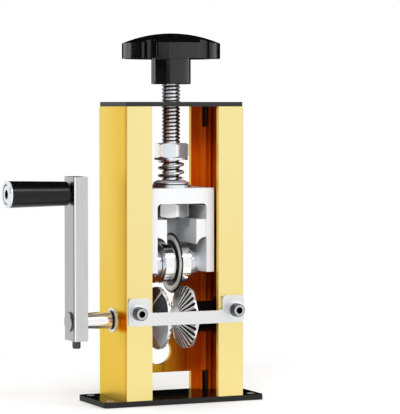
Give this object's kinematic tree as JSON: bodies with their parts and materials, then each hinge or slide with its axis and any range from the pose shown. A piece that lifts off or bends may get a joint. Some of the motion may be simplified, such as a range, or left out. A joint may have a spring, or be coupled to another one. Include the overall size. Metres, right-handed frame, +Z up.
{
  "type": "hand crank wire stripper",
  "caption": "Bench tool with a crank-driven toothed feed roller and a round blade in a slider that a knob and screw press down on the wire.",
  "frame": {"origin": "centre of the four bench holes, on the underside of the base plate", "axes": "+X along the crank shaft from the crank towards the far side wall, +Y from the open front towards the rear wall, +Z up along the pressure screw"},
  "size_m": [0.1442, 0.0548, 0.2033],
  "materials": {
    "base_paint": "black paint, satin",
    "gold_frame": "gold anodised, satin",
    "plate_paint": "dark grey paint, satin",
    "black_screws": "black oxide",
    "nickel": "nickel plated, satin",
    "zinc": "zinc plated",
    "dark_steel": "spring steel, dark",
    "polished_steel": "polished",
    "block_silver": "bead blasted, satin",
    "black_nylon": "matt",
    "grip_plastic": "smooth, half gloss",
    "knob_plastic": "gloss"
  },
  "bodies": {
    "frame": {"base_plate": "base_paint", "frame_channel": "gold_frame", "top_plate": "plate_paint", "base_screws": "black_screws", "top_screws": "black_screws", "guide_bar": "nickel", "guide_flat_washers": "zinc", "guide_lock_washers": "dark_steel", "guide_screws": "black_screws", "left_bush": "zinc", "right_bush": "zinc", "left_spacer": "black_nylon", "right_spacer": "black_nylon"},
    "drive": {"drive_shaft": "polished_steel", "feed_roller": "polished_steel", "roller_pin": "dark_steel", "crank_arm": "nickel", "crank_set_screw": "black_screws", "handle_bolt": "zinc", "shaft_circlip": "dark_steel"},
    "grip": {"handle_grip": "grip_plastic", "grip_end_ring": "zinc"},
    "feed": {"spring_washer": "zinc", "pressure_spring": "polished_steel"},
    "screw": {"star_knob": "knob_plastic", "threaded_rod": "zinc", "upper_nut": "zinc", "lower_nut": "zinc"},
    "slider": {"slider_block": "block_silver", "left_slide_strip": "black_nylon", "right_slide_strip": "black_nylon", "strip_screws": "dark_steel", "spring_seat": "zinc", "seat_washer": "zinc", "blade_axle": "polished_steel", "axle_spacers": "zinc"},
    "blade_wheel": {"blade_disc": "polished_steel", "left_depth_ring": "polished_steel", "right_depth_ring": "polished_steel"}
  },
  "joints": [
    {"name": "crank_turn", "type": "hinge", "parent": "frame", "child": "drive", "pos_m": [0, 0, 0.0458], "axis": [1, 0, 0], "continuous": true},
    {"name": "grip_spin", "type": "hinge", "parent": "drive", "child": "grip", "pos_m": [-0.08, 0, 0.1157], "axis": [1, 0, 0], "continuous": true},
    {"name": "screw_feed", "type": "slide", "parent": "frame", "child": "feed", "axis": [0, 0, 1], "range_m": [-0.00121, 0.02001]},
    {"name": "knob_turn", "type": "hinge", "parent": "feed", "child": "screw", "pos_m": [0, 0, 0.18], "axis": [0, 0, 1], "range_deg": [-216, 3600]},
    {"name": "slider_float", "type": "slide", "parent": "feed", "child": "slider", "axis": [0, 0, 1], "range_m": [0, 0.005], "stiffness_N_per_m": 12000, "springref_m": -0.002, "deforming": ["pressure_spring"]},
    {"name": "blade_spin", "type": "hinge", "parent": "slider", "child": "blade_wheel", "pos_m": [0, 0, 0.0763], "axis": [1, 0, 0], "continuous": true}
  ],
  "couplings": [
    {"joint": "screw_feed", "follows": "knob_turn", "m_per_rad": 0.00031831}
  ]
}
